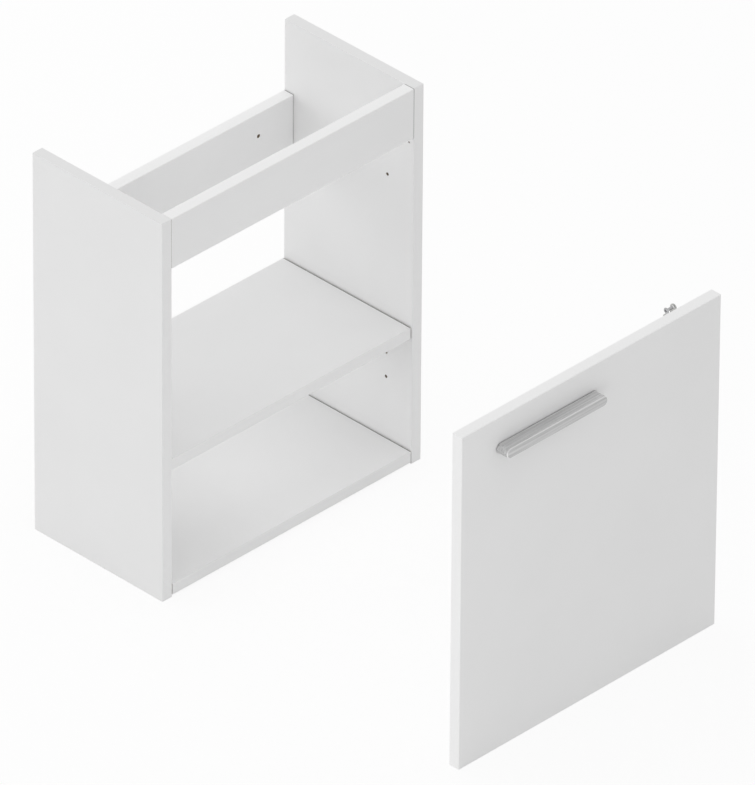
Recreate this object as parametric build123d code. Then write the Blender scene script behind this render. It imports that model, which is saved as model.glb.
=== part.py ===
from build123d import *
import os

# Wall-hung or floor-standing vanity unit: an open-backed board carcass with two
# rails and a loose shelf, and a single door that stands taken off in front of it.
# X runs across the unit, Y from front to back and Z up, in millimetres. The origin
# is on the floor, in the middle of the carcass and the taken-off door together.

# Carcass
unit_width = 500.0
unit_depth = 250.0
unit_height = 615.0
board = 18.0
edging = 1.0
front_rail_height = 80.0
back_rail_height = 80.0
back_rail_drop = 115.0
rail_joint = 0.2
bottom_lift = 3.0
bottom_joint = 1.2
shelf_underside = 206.5
shelf_setback = 2.0
shelf_joint = 1.4
wall_hole_radius = 3.0
wall_hole_inset = 68.5
wall_hole_drop = 37.0

# Dowels and cam fittings that hold the boards together
dowel_radius = 4.0
dowel_length = 30.0
dowel_in_side = 10.0
fitting_clearance = 0.05
cam_radius = 7.5
cam_depth = 12.5
cam_reach = 24.0
cam_slot_width = 1.6
cam_slot_depth = 2.0
cam_slot_margin = 1.0
bolt_thread_radius = 2.5
bolt_in_side = 10.8
bolt_shank_radius = 3.5
bolt_neck_radius = 2.0
bolt_head_radius = 3.3
bolt_head_length = 4.0
bolt_neck_length = 4.5
bolt_bore_clearance = 0.4
bottom_dowel_inset = 35.0
bottom_cam_inset = 67.0
rail_dowel_rise = 20.0
rail_cam_rise = 55.0

# Holes bored in the inner face of both sides
plate_hole_radius = 2.5
plate_hole_depth = 13.0
plate_hole_spacing = 40.0
plate_hole_inset = 50.5
hinge_spacing = 332.0
pilot_radius = 1.5
pilot_depth = 10.0
pilot_inset = 9.6
pilot_below_rail = 11.0

# Shelf pegs
peg_radius = 2.5
peg_in_side = 9.0
peg_inset = 37.0
peg_collar_radius = 4.0
peg_collar = 1.5
peg_tab_length = 9.0
peg_tab_width = 8.0
peg_tab_thickness = 2.0

# Door
door_board = 18.0
door_reveal = 2.0
door_gap = 3.0
door_lift = 2.0
door_over_rail = 4.0
door_pull = 545.0
bumper_radius = 4.0
bumper_clearance = 0.3
bumper_end_distance = 30.0

# Handle
handle_length = 192.0
handle_height = 16.0
handle_reach = 20.5
handle_wall = 3.0
handle_from_edge = 65.5
handle_from_top = 41.0
handle_screw_spacing = 160.0
handle_boss_length = 31.0
handle_chamfer = 1.2
handle_screw_radius = 2.0
handle_screw_depth = 12.0
handle_screw_head_radius = 4.0
handle_screw_head = 2.5

# Concealed hinges
body_clearance = 0.3
plate_thickness = 1.9
plate_wing_width = 11.0
plate_wing_length = 49.0
plate_start = 26.0
plate_end = 59.0
plate_rib_half = 5.0
cup_radius = 17.5
cup_wall = 1.0
cup_depth = 13.0
cup_bore_clearance = 0.1
flange_thickness = 1.0
flange_margin = 1.0
flange_wing_length = 56.0
flange_wing_half = 6.0
cup_screw_spacing = 45.0
cup_screw_back = 9.5
cup_screw_radius = 1.7
cup_screw_length = 14.0
cup_screw_head_radius = 3.2
cup_screw_head = 1.2
pin_radius = 1.2
pin_running = 0.1
pin_depth = 9.0
pin_offset = 13.1
swing_clearance = 0.8
knuckle_radius = 2.3
arm_sheet = 2.0
arm_half_width = 5.0
channel_height = 8.0
channel_wall = 1.2
channel_web = 1.5
channel_start = 22.0
channel_end = 61.0
adjuster_radius = 2.0
adjuster_head_radius = 3.5
adjuster_head = 1.6
adjuster_places = (31.0, 54.0)

# Screws that fix the hinge plates to the side, backed out while the door is off
plate_screw_radius = 2.3
plate_screw_travel = 12.0
plate_screw_head_radius = 4.5
plate_screw_head = 2.0
plate_screw_seat = 0.2

# Places worked out from the sizes
inner_x = unit_width / 2 - board
front_y = (door_pull + door_gap + door_board + handle_reach - unit_depth) / 2
back_y = front_y + unit_depth
rail_underside = unit_height - front_rail_height
back_rail_top = unit_height - back_rail_drop
bottom_top = bottom_lift + board
door_half = unit_width / 2 - door_reveal
door_back_y = front_y - door_gap
door_front_y = door_back_y - door_board
door_top = rail_underside + door_over_rail
hinge_heights = (unit_height / 2 - hinge_spacing / 2, unit_height / 2 + hinge_spacing / 2)
plate_y = front_y + plate_hole_inset
plate_back_x = inner_x - body_clearance
plate_face_x = plate_back_x - plate_thickness
pin_x = plate_face_x + pin_depth + flange_thickness + swing_clearance
pin_y = door_back_y - pin_depth
cup_x = pin_x - pin_offset
handle_x = -door_half + handle_from_edge + handle_length / 2
handle_z = door_top - handle_from_top - handle_height / 2
taken_off = Pos(0, -door_pull, -door_lift)


def block(x, y, z):
    """Box between the low and high value of each pair."""
    centre = Pos((x[0] + x[1]) / 2, (y[0] + y[1]) / 2, (z[0] + z[1]) / 2)
    return centre * Box(x[1] - x[0], y[1] - y[0], z[1] - z[0])


def rod_x(x, y, z, radius):
    """Cylinder along X between two values of x, given in either order."""
    return Pos((x[0] + x[1]) / 2, y, z) * Rot(0, 90, 0) * Cylinder(radius, abs(x[1] - x[0]))


def rod_y(x, y, z, radius):
    """Cylinder along Y between two values of y."""
    return Pos(x, (y[0] + y[1]) / 2, z) * Rot(90, 0, 0) * Cylinder(radius, abs(y[1] - y[0]))


def rod_z(x, y, z, radius):
    """Cylinder along Z between two values of z."""
    return Pos(x, y, (z[0] + z[1]) / 2) * Cylinder(radius, abs(z[1] - z[0]))


def save(node, *solids):
    """Write one node, whose solids stay separate."""
    shape = solids[0] if len(solids) == 1 else Compound(children=list(solids))
    export_step(shape, f"parts/{node}.step")


class JointLine:
    """A dowel or cam fitting at a board's end: the side it enters, its height and depth."""

    def __init__(self, side, y, z, gap, face):
        self.side = side
        self.y = y
        self.z = z
        self.end = inner_x - gap
        self.face = face

    def along(self, near, far):
        """Two places across the unit, measured from its middle towards this side."""
        return (self.side * near, self.side * far)


def dowel_lines():
    """Every dowel of the carcass."""
    lines = []
    for side in (-1, 1):
        for inset in (bottom_dowel_inset, unit_depth - bottom_dowel_inset):
            lines.append(JointLine(side, front_y + inset, bottom_lift + board / 2, bottom_joint, "under"))
        front_z = rail_underside + rail_dowel_rise
        lines.append(JointLine(side, front_y + board / 2, front_z, rail_joint, "rear"))
        back_z = back_rail_top - back_rail_height + rail_dowel_rise
        lines.append(JointLine(side, back_y - board / 2, back_z, rail_joint, "rear"))
    return lines


def cam_lines():
    """Every cam fitting of the carcass, with the hidden face that its cam is let into."""
    lines = []
    for side in (-1, 1):
        for inset in (bottom_cam_inset, unit_depth - bottom_cam_inset):
            lines.append(JointLine(side, front_y + inset, bottom_lift + board / 2, bottom_joint, "under"))
        front_z = rail_underside + rail_cam_rise
        lines.append(JointLine(side, front_y + board / 2, front_z, rail_joint, "rear"))
        back_z = back_rail_top - back_rail_height + rail_cam_rise
        lines.append(JointLine(side, back_y - board / 2, back_z, rail_joint, "rear"))
    return lines


def dowel(line, clearance=0.0):
    """Beech dowel, or with a clearance the bore that takes it."""
    reach = dowel_length - dowel_in_side + clearance
    ends = line.along(inner_x - reach, inner_x + dowel_in_side + clearance)
    return rod_x(ends, line.y, line.z, dowel_radius + clearance)


def cam_bolt(line):
    """Bolt screwed into the side, whose head is caught by the cam."""
    head_end = line.end - cam_reach - bolt_head_length / 2
    neck_end = head_end + bolt_head_length
    shank_end = neck_end + bolt_neck_length
    thread = rod_x(line.along(inner_x, inner_x + bolt_in_side), line.y, line.z, bolt_thread_radius)
    shank = rod_x(line.along(shank_end, inner_x), line.y, line.z, bolt_shank_radius)
    neck = rod_x(line.along(neck_end, shank_end), line.y, line.z, bolt_neck_radius)
    head = rod_x(line.along(head_end, neck_end), line.y, line.z, bolt_head_radius)
    return thread + shank + neck + head


def cam_disc(line, radius, depth):
    """Disc let into the hidden face of a board at the bolt's head."""
    x = line.side * (line.end - cam_reach)
    if line.face == "under":
        low = line.z - board / 2
        return rod_z(x, line.y, (low, low + depth), radius)
    high = line.y + board / 2
    return rod_y(x, (high - depth, high), line.z, radius)


def cam_lock(line):
    """Cam with the hollow that catches the bolt's head and a screwdriver slot."""
    x = line.side * (line.end - cam_reach)
    hollow_ends = line.along(line.end - cam_reach - bolt_head_length, line.end)
    hollow = rod_x(hollow_ends, line.y, line.z, bolt_shank_radius + fitting_clearance)
    reach = cam_radius - cam_slot_margin
    half = cam_slot_width / 2
    if line.face == "under":
        low = line.z - board / 2
        slot = block((x - reach, x + reach), (line.y - half, line.y + half), (low, low + cam_slot_depth))
    else:
        high = line.y + board / 2
        slot = block((x - reach, x + reach), (high - cam_slot_depth, high), (line.z - half, line.z + half))
    return cam_disc(line, cam_radius, cam_depth) - hollow - slot


def bored_for_fittings(panel):
    """Cut the dowel bores, bolt bores and cam pockets that meet a board."""
    for line in dowel_lines():
        panel -= dowel(line, fitting_clearance)
    for line in cam_lines():
        in_side = line.along(inner_x, inner_x + bolt_in_side + fitting_clearance)
        panel -= rod_x(in_side, line.y, line.z, bolt_thread_radius + fitting_clearance)
        in_board = line.along(line.end - cam_reach, line.end)
        panel -= rod_x(in_board, line.y, line.z, bolt_shank_radius + bolt_bore_clearance)
        panel -= cam_disc(line, cam_radius + fitting_clearance, cam_depth + fitting_clearance)
    return panel


def peg_places():
    """Depths of the shelf pegs, behind the front."""
    return (front_y + peg_inset, back_y - peg_inset)


def side_panel(side):
    """Side board, bored on its inner face for fittings, pegs and either hinge hand."""
    x = sorted((side * inner_x, side * unit_width / 2))
    panel = block(x, (front_y + edging, back_y), (0, unit_height - edging))
    panel = bored_for_fittings(panel)
    peg_z = shelf_underside - peg_radius
    for y in peg_places():
        ends = (side * inner_x, side * (inner_x + peg_in_side + fitting_clearance))
        panel -= rod_x(ends, y, peg_z, peg_radius + fitting_clearance)
    for height in hinge_heights:
        for step in (-1, 1):
            z = height + step * plate_hole_spacing / 2
            ends = (side * inner_x, side * (inner_x + plate_hole_depth))
            panel -= rod_x(ends, plate_y, z, plate_hole_radius)
    ends = (side * inner_x, side * (inner_x + pilot_depth))
    panel -= rod_x(ends, front_y + pilot_inset, rail_underside - pilot_below_rail, pilot_radius)
    return panel


def side_edging(side):
    """Edge band on a side's front edge and another on its top edge."""
    x = sorted((side * inner_x, side * unit_width / 2))
    front = block(x, (front_y, front_y + edging), (0, unit_height))
    top = block(x, (front_y + edging, back_y), (unit_height - edging, unit_height))
    return front, top


def rail(y, bottom, top):
    """Upright rail board between the sides, with its long edges left for edge bands."""
    half = inner_x - rail_joint
    return bored_for_fittings(block((-half, half), y, (bottom + edging, top - edging)))


def rail_edging(y, bottom, top):
    """Edge bands on a rail's top and bottom edges."""
    half = inner_x - rail_joint
    upper = block((-half, half), y, (top - edging, top))
    lower = block((-half, half), y, (bottom, bottom + edging))
    return upper, lower


def back_rail():
    """Rear rail with its two wall-fixing holes."""
    y = (back_y - board, back_y)
    panel = rail(y, back_rail_top - back_rail_height, back_rail_top)
    for side in (-1, 1):
        x = side * (inner_x - wall_hole_inset)
        panel -= rod_y(x, y, back_rail_top - wall_hole_drop, wall_hole_radius)
    return panel


def flat_board(joint, front, underside):
    """Level board between the sides and the edge band on its front edge."""
    half = inner_x - joint
    z = (underside, underside + board)
    panel = block((-half, half), (front + edging, back_y), z)
    band = block((-half, half), (front, front + edging), z)
    return panel, band


def shelf_peg(side, y):
    """Steel peg with a collar and a flat tab that the shelf lies on."""
    z = shelf_underside - peg_radius
    collar_end = inner_x - peg_collar
    tab_end = collar_end - peg_tab_length
    pin = rod_x((side * tab_end, side * (inner_x + peg_in_side)), y, z, peg_radius)
    collar = rod_x((side * collar_end, side * inner_x), y, z, peg_collar_radius)
    above = block(
        (-unit_width, unit_width),
        (y - peg_collar_radius, y + peg_collar_radius),
        (shelf_underside, shelf_underside + peg_collar_radius),
    )
    tab_x = sorted((side * tab_end, side * collar_end))
    tab_y = (y - peg_tab_width / 2, y + peg_tab_width / 2)
    tab = block(tab_x, tab_y, (shelf_underside - peg_tab_thickness, shelf_underside))
    return pin + (collar - above) + tab


def hinge_plate(height):
    """Cross-shaped plate that screws to the side, with the rib that the arm slides on."""
    bar = block(
        (plate_face_x, plate_back_x),
        (front_y + plate_start, front_y + plate_end),
        (height - plate_rib_half, height + plate_rib_half),
    )
    half_wing = plate_wing_width / 2
    straight = plate_wing_length / 2 - half_wing
    wings = block(
        (plate_face_x, plate_back_x),
        (plate_y - half_wing, plate_y + half_wing),
        (height - straight, height + straight),
    )
    for step in (-1, 1):
        wings += rod_x((plate_face_x, plate_back_x), plate_y, height + step * straight, half_wing)
    rib = block(
        (plate_face_x - channel_height + channel_web, plate_face_x),
        (front_y + plate_start, front_y + plate_end),
        (height - plate_rib_half, height + plate_rib_half),
    )
    plate = bar + wings + rib
    for step in (-1, 1):
        z = height + step * plate_hole_spacing / 2
        plate -= rod_x((plate_face_x, plate_back_x), plate_y, z, plate_screw_radius + body_clearance)
    for place in adjuster_places:
        ends = (plate_face_x - channel_height, plate_face_x)
        plate -= rod_x(ends, front_y + place, height, adjuster_radius + fitting_clearance)
    return plate


def hinge_arm(height):
    """Cranked steel arm: a knuckle on the pin, a strap out of the cup and a channel."""
    strap_x = (plate_face_x - arm_sheet, plate_face_x)
    z = (height - arm_half_width, height + arm_half_width)
    tongue = block((strap_x[0], pin_x), (pin_y - arm_sheet / 2, pin_y + arm_sheet / 2), z)
    strap = block(strap_x, (pin_y - arm_sheet / 2, front_y + channel_start), z)
    knuckle = rod_z(pin_x, pin_y, z, knuckle_radius)
    bore = rod_z(pin_x, pin_y, z, pin_radius + pin_running)
    half = plate_rib_half + body_clearance + channel_wall
    outer_x = plate_face_x - channel_height
    wide = (height - half, height + half)
    shell = block((outer_x, plate_face_x), (front_y + channel_start, front_y + channel_end), wide)
    inner = (height - half + channel_wall, height + half - channel_wall)
    hollow = block(
        (outer_x + channel_web, plate_face_x),
        (front_y + channel_start + arm_sheet, front_y + channel_end),
        inner,
    )
    arm = tongue + strap + knuckle - bore + (shell - hollow)
    for place in adjuster_places:
        ends = (outer_x, outer_x + channel_web)
        arm -= rod_x(ends, front_y + place, height, adjuster_radius + fitting_clearance)
    return arm


def adjusting_screws(height):
    """Two screws through an arm's channel into its plate, for depth and side setting."""
    outer_x = plate_face_x - channel_height
    screws = []
    for place in adjuster_places:
        y = front_y + place
        head = rod_x((outer_x - adjuster_head, outer_x), y, height, adjuster_head_radius)
        shank = rod_x((outer_x, plate_face_x), y, height, adjuster_radius)
        slot = block(
            (outer_x - adjuster_head, outer_x - adjuster_head / 2),
            (y - adjuster_head_radius, y + adjuster_head_radius),
            (height - adjuster_head / 4, height + adjuster_head / 4),
        )
        screws.append(head + shank - slot)
    return screws


def plate_screw(height, step):
    """Captive screw in a plate's wing, backed out by its full travel."""
    z = height + step * plate_hole_spacing / 2
    seat_x = plate_face_x - plate_screw_seat - plate_screw_travel
    tip_x = plate_back_x - plate_screw_seat
    head = rod_x((seat_x - plate_screw_head, seat_x), plate_y, z, plate_screw_head_radius)
    shank = rod_x((seat_x, tip_x), plate_y, z, plate_screw_radius)
    recess = block(
        (seat_x - plate_screw_head, seat_x - plate_screw_head / 2),
        (plate_y - plate_screw_radius, plate_y + plate_screw_radius),
        (z - plate_screw_head / 4, z + plate_screw_head / 4),
    )
    return head + shank - recess


def hinge_cup(height):
    """Pressed cup let into the door's back, with a flange screwed to the face."""
    bowl = rod_y(cup_x, (door_back_y - cup_depth, door_back_y), height, cup_radius)
    rim = rod_y(cup_x, (door_back_y, door_back_y + flange_thickness), height, cup_radius + flange_margin)
    screw_x = cup_x - cup_screw_back
    wings = block(
        (screw_x - flange_wing_half, screw_x + flange_wing_half),
        (door_back_y, door_back_y + flange_thickness),
        (height - flange_wing_length / 2, height + flange_wing_length / 2),
    )
    depth = (door_back_y - cup_depth + cup_wall, door_back_y + flange_thickness)
    hollow = rod_y(cup_x, depth, height, cup_radius - cup_wall)
    cup = bowl + rim + wings - hollow
    for step in (-1, 1):
        z = height + step * cup_screw_spacing / 2
        face = (door_back_y, door_back_y + flange_thickness)
        cup -= rod_y(screw_x, face, z, cup_screw_radius + fitting_clearance)
    return cup


def hinge_pin(height):
    """Pin across the cup that the arm turns on."""
    half = ((cup_radius - cup_wall) ** 2 - (pin_offset + pin_radius) ** 2) ** 0.5
    return rod_z(pin_x, pin_y, (height - half, height + half), pin_radius)


def cup_screw(height, step, clearance=0.0):
    """Screw that holds a cup's flange to the door, or its pilot bore."""
    x = cup_x - cup_screw_back
    z = height + step * cup_screw_spacing / 2
    face = door_back_y + flange_thickness
    shank = rod_y(x, (face - cup_screw_length - clearance, face), z, cup_screw_radius + clearance)
    if clearance:
        return shank
    head = rod_y(x, (face, face + cup_screw_head), z, cup_screw_head_radius)
    recess = block(
        (x - cup_screw_radius, x + cup_screw_radius),
        (face + cup_screw_head / 2, face + cup_screw_head),
        (z - cup_screw_head / 4, z + cup_screw_head / 4),
    )
    return head + shank - recess


def handle_screw_places():
    """Places of the handle's two screws across the door."""
    return (handle_x - handle_screw_spacing / 2, handle_x + handle_screw_spacing / 2)


def door_panel():
    """Door board with its cup bores, pilot bores and handle screw holes."""
    half = door_half - edging
    panel = block((-half, half), (door_front_y, door_back_y), (door_lift + edging, door_top - edging))
    for height in hinge_heights:
        deep = door_back_y - cup_depth - cup_bore_clearance
        panel -= rod_y(cup_x, (deep, door_back_y), height, cup_radius + cup_bore_clearance)
        for step in (-1, 1):
            panel -= cup_screw(height, step, fitting_clearance)
    for x in handle_screw_places():
        hole = handle_screw_radius + body_clearance
        panel -= rod_y(x, (door_front_y, door_back_y), handle_z, hole)
    return panel


def door_edging():
    """Edge bands on the door's four edges."""
    y = (door_front_y, door_back_y)
    inner = door_half - edging
    bands = []
    for side in (-1, 1):
        x = sorted((side * inner, side * door_half))
        bands.append(block(x, y, (door_lift, door_top)))
    bands.append(block((-inner, inner), y, (door_lift, door_lift + edging)))
    bands.append(block((-inner, inner), y, (door_top - edging, door_top)))
    return bands


def door_bumper(z):
    """Soft pad on the door's back that meets the left side's front edge."""
    x = -(inner_x + board / 2)
    return rod_y(x, (door_back_y, front_y - bumper_clearance), z, bumper_radius)


def handle():
    """Round-ended bar, hollowed behind from below to leave a grip between two bosses."""
    bar = extrude(SlotOverall(handle_length, handle_height), amount=handle_reach)
    front_edges = bar.faces().sort_by(Axis.Z)[-1].edges()
    bar = chamfer(front_edges, handle_chamfer)
    bar = Pos(handle_x, door_front_y, handle_z) * Rot(90, 0, 0) * bar
    half = handle_length / 2 - handle_boss_length
    bar -= block(
        (handle_x - half, handle_x + half),
        (door_front_y - handle_reach + handle_wall, door_front_y),
        (handle_z - handle_height / 2, handle_z + handle_height / 2 - handle_wall),
    )
    for x in handle_screw_places():
        depth = (door_front_y - handle_screw_depth - fitting_clearance, door_front_y)
        bar -= rod_y(x, depth, handle_z, handle_screw_radius + fitting_clearance)
    return bar


def handle_screw(x):
    """Machine screw from the door's back into a handle boss."""
    shank = rod_y(x, (door_front_y - handle_screw_depth, door_back_y), handle_z, handle_screw_radius)
    top = door_back_y + handle_screw_head
    head = rod_y(x, (door_back_y, top), handle_z, handle_screw_head_radius)
    recess = block(
        (x - handle_screw_radius, x + handle_screw_radius),
        (top - handle_screw_head / 2, top),
        (handle_z - handle_screw_head / 4, handle_z + handle_screw_head / 4),
    )
    return shank + head - recess


os.makedirs("parts", exist_ok=True)

for name, side in (("left", -1), ("right", 1)):
    save(f"{name}_side_panel", side_panel(side))
    save(f"{name}_side_edging", *side_edging(side))

bottom_board, bottom_band = flat_board(bottom_joint, front_y, bottom_lift)
save("bottom_panel", bored_for_fittings(bottom_board))
save("bottom_edging", bottom_band)

front_rail_y = (front_y, front_y + board)
save("front_rail", rail(front_rail_y, rail_underside, unit_height))
save("front_rail_edging", *rail_edging(front_rail_y, rail_underside, unit_height))
back_rail_y = (back_y - board, back_y)
save("back_rail", back_rail())
save("back_rail_edging", *rail_edging(back_rail_y, back_rail_top - back_rail_height, back_rail_top))

save("dowels", *[dowel(line) for line in dowel_lines()])
save("cam_bolts", *[cam_bolt(line) for line in cam_lines()])
save("cam_locks", *[cam_lock(line) for line in cam_lines()])
save("shelf_pegs", *[shelf_peg(side, y) for side in (-1, 1) for y in peg_places()])

shelf_board, shelf_band = flat_board(shelf_joint, front_y + shelf_setback, shelf_underside)
save("shelf_panel", shelf_board)
save("shelf_edging", shelf_band)

for name, height in zip(("lower", "upper"), hinge_heights):
    save(f"{name}_hinge_plate", taken_off * hinge_plate(height))
    save(f"{name}_hinge_arm", taken_off * hinge_arm(height))
    save(f"{name}_hinge_cup", taken_off * hinge_cup(height))

steps = [(height, step) for height in hinge_heights for step in (-1, 1)]
save("hinge_pins", *[taken_off * hinge_pin(height) for height in hinge_heights])
save("cup_screws", *[taken_off * cup_screw(height, step) for height, step in steps])
save("plate_screws", *[taken_off * plate_screw(height, step) for height, step in steps])
adjusters = [screw for height in hinge_heights for screw in adjusting_screws(height)]
save("adjusting_screws", *[taken_off * screw for screw in adjusters])

save("door_panel", taken_off * door_panel())
save("door_edging", *[taken_off * band for band in door_edging()])
bumper_heights = (door_lift + bumper_end_distance, door_top - bumper_end_distance)
save("door_bumpers", *[taken_off * door_bumper(z) for z in bumper_heights])
save("handle", taken_off * handle())
save("handle_screws", *[taken_off * handle_screw(x) for x in handle_screw_places()])
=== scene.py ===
import bmesh
import bpy
import numpy as np
from mathutils import Matrix, Vector


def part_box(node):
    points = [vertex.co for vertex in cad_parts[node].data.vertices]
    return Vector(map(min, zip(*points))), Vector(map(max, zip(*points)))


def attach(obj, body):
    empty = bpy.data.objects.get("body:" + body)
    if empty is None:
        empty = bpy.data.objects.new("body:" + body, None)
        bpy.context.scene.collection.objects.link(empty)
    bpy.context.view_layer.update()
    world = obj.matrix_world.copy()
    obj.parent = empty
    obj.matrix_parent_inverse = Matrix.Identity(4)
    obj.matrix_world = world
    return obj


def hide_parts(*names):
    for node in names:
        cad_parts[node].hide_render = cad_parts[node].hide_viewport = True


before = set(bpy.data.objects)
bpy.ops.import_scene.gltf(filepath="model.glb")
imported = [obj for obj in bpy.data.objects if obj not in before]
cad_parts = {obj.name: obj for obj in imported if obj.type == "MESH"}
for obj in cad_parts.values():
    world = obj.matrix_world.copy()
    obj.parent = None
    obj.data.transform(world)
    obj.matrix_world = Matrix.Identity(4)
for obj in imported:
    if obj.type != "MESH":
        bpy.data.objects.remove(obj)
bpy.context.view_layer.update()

# The view: a very long lens from the front left and above, so far off that the boards'
# edges stay almost parallel, with a slight roll. It takes in the carcass and its door.
azimuth, elevation, roll = np.radians((-45.34, 33.58, 0.39))
view_distance = 23.45
focal_length = 788.0
view_middle = Vector((0.068, 0.073, 0.240))
back = Vector((
    np.sin(azimuth) * np.cos(elevation), -np.cos(azimuth) * np.cos(elevation), np.sin(elevation),
))
level = Vector((np.cos(azimuth), np.sin(azimuth), 0))
upright = back.cross(level)
across = np.cos(roll) * level + np.sin(roll) * upright
upward = np.cos(roll) * upright - np.sin(roll) * level
turned_view = Matrix((across, upward, back)).transposed().to_4x4()
camera = bpy.data.objects.new("camera", bpy.data.cameras.new("camera"))
camera.data.lens = focal_length
camera.data.sensor_width = 36
camera.data.clip_end = 200
camera.matrix_world = Matrix.Translation(view_middle + view_distance * back) @ turned_view
bpy.context.scene.collection.objects.link(camera)
bpy.context.scene.camera = camera
bpy.context.scene.view_settings.view_transform = "Standard"

# The light: an even white sky, as in a light tent, with soft lamps behind, which reach into
# the open back, one above, a low one at the front left and a weak one under the shelf. Rays
# that see the sky directly find it white.
sky_level = 0.71
lamps = {
    "rear_lamp": ((0.0, 4.5, 0.9), (0, 0, 0.3), 3.0, 50),
    "rear_left_lamp": ((-3.0, 3.5, 1.2), (0, 0, 0.3), 3.0, 28),
    "top_lamp": ((0.0, 0.3, 3.0), (0, 0, 0.3), 2.0, 8),
    "front_left_lamp": ((-1.7, -1.9, 0.15), (0, 0, 0.3), 1.0, 5),
    "shelf_lamp": ((0.03, 0.3, 0.2), (0.03, 0.3, 0), 0.2, 0.07),
}
world = bpy.data.worlds.new("sky")
world.use_nodes = True
bpy.context.scene.world = world
sky = world.node_tree
sky_light = sky.nodes["Background"]
sky_light.inputs["Color"].default_value = (1, 1, 1, 1)
sky_light.inputs["Strength"].default_value = sky_level


def directly_seen(tree):
    """Value that is 1 for camera, glossy and transmission rays, and 0 for the rest."""
    rays = tree.nodes.new("ShaderNodeLightPath")
    seen = rays.outputs["Is Camera Ray"]
    for kind in ("Is Glossy Ray", "Is Transmission Ray"):
        either = tree.nodes.new("ShaderNodeMath")
        either.operation = "MAXIMUM"
        tree.links.new(seen, either.inputs[0])
        tree.links.new(rays.outputs[kind], either.inputs[1])
        seen = either.outputs[0]
    return seen


white_sky = sky.nodes.new("ShaderNodeBackground")
white_sky.inputs["Strength"].default_value = 1
sky_choice = sky.nodes.new("ShaderNodeMixShader")
sky.links.new(directly_seen(sky), sky_choice.inputs["Fac"])
sky.links.new(sky_light.outputs[0], sky_choice.inputs[1])
sky.links.new(white_sky.outputs[0], sky_choice.inputs[2])
sky.links.new(sky_choice.outputs[0], sky.nodes["World Output"].inputs["Surface"])


def soft_lamp(name, place, aim, size, power):
    """Square lamp at a place, turned to its aim, that is neither seen nor mirrored."""
    lamp = bpy.data.lights.new(name, "AREA")
    lamp.size = size
    lamp.energy = power
    holder = bpy.data.objects.new(name, lamp)
    holder.visible_camera = False
    holder.visible_glossy = False
    facing = (Vector(aim) - Vector(place)).to_track_quat("-Z", "Y")
    holder.matrix_world = Matrix.Translation(place) @ facing.to_matrix().to_4x4()
    bpy.context.scene.collection.objects.link(holder)


for name, lamp in lamps.items():
    soft_lamp(name, *lamp)

# The floor is a plain white sheet. Directly seen it is mostly its own white, with a share
# that takes the light, so the object still leaves a faint shadow where it stands.
floor_reach = 30.0
floor_share = 0.12
floor_white = 0.94
floor_mesh = bpy.data.meshes.new("floor")
corners = [(x * floor_reach, y * floor_reach, 0) for x, y in ((-1, -1), (1, -1), (1, 1), (-1, 1))]
floor_mesh.from_pydata(corners, [], [(0, 1, 2, 3)])
floor = bpy.data.objects.new("floor", floor_mesh)
bpy.context.scene.collection.objects.link(floor)
floor_paper = bpy.data.materials.new("floor_paper")
floor_paper.use_nodes = True
paper = floor_paper.node_tree
paper_light = paper.nodes["Principled BSDF"]
paper_light.inputs["Base Color"].default_value = (floor_white, floor_white, floor_white, 1)
paper_light.inputs["Roughness"].default_value = 1
paper_light.inputs["Specular IOR Level"].default_value = 0
paper_white = paper.nodes.new("ShaderNodeEmission")
paper_shade = paper.nodes.new("ShaderNodeBsdfDiffuse")
paper_shade.inputs["Color"].default_value = (1, 1, 1, 1)
paper_seen = paper.nodes.new("ShaderNodeMixShader")
paper_seen.inputs["Fac"].default_value = floor_share
paper_choice = paper.nodes.new("ShaderNodeMixShader")
paper.links.new(paper_white.outputs[0], paper_seen.inputs[1])
paper.links.new(paper_shade.outputs[0], paper_seen.inputs[2])
paper.links.new(directly_seen(paper), paper_choice.inputs["Fac"])
paper.links.new(paper_light.outputs[0], paper_choice.inputs[1])
paper.links.new(paper_seen.outputs[0], paper_choice.inputs[2])
paper.links.new(paper_choice.outputs[0], paper.nodes["Material Output"].inputs["Surface"])
floor_mesh.materials.append(floor_paper)


# The boards: 18 mm particle board faced on both sides with white melamine paper, cut and
# bored. The bare core shows in the bores and on the edges that have no band: the rear edges,
# the sides' lower ends and the ends of the level boards.
board_white = (0.875, 0.875, 0.875)
board_shade = (0.845, 0.845, 0.845)
chip_dark = (0.115, 0.10, 0.085)
chip_middle = (0.35, 0.29, 0.22)
chip_pale = (0.53, 0.45, 0.35)
# Painted shade: a dark strip, as (width, colour), at the right end of the rails', the bottom's and the shelf's
# faces, for the shade in the narrow gap where each meets the right side.
painted_gap_shades = {
    "front_rail": (0.0011, (0.40, 0.40, 0.40)),
    "back_rail": (0.0019, (0.60, 0.60, 0.60)),
    "bottom_panel": (0.0012, (0.30, 0.30, 0.30)),
    "shelf_panel": (0.0010, (0.30, 0.30, 0.30)),
}
board_axes = {
    "left_side_panel": 0, "right_side_panel": 0, "bottom_panel": 2, "shelf_panel": 2,
    "front_rail": 1, "back_rail": 1, "door_panel": 1,
}


def shader_group(name, inputs, outputs):
    """Empty node group with named inputs, as (name, type, value), and named outputs."""
    tree = bpy.data.node_groups.new(name, "ShaderNodeTree")
    for label, kind, value in inputs:
        socket = tree.interface.new_socket(label, in_out="INPUT", socket_type="NodeSocket" + kind)
        socket.default_value = value
    for label, kind in outputs:
        tree.interface.new_socket(label, in_out="OUTPUT", socket_type="NodeSocket" + kind)
    return tree, tree.nodes.new("NodeGroupInput"), tree.nodes.new("NodeGroupOutput")


def set_input(tree, socket, value):
    """Links a socket to another, or sets its number, vector or colour."""
    if isinstance(value, bpy.types.NodeSocket):
        tree.links.new(value, socket)
    elif socket.type == "RGBA":
        socket.default_value = (*value, 1)
    else:
        socket.default_value = value


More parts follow.
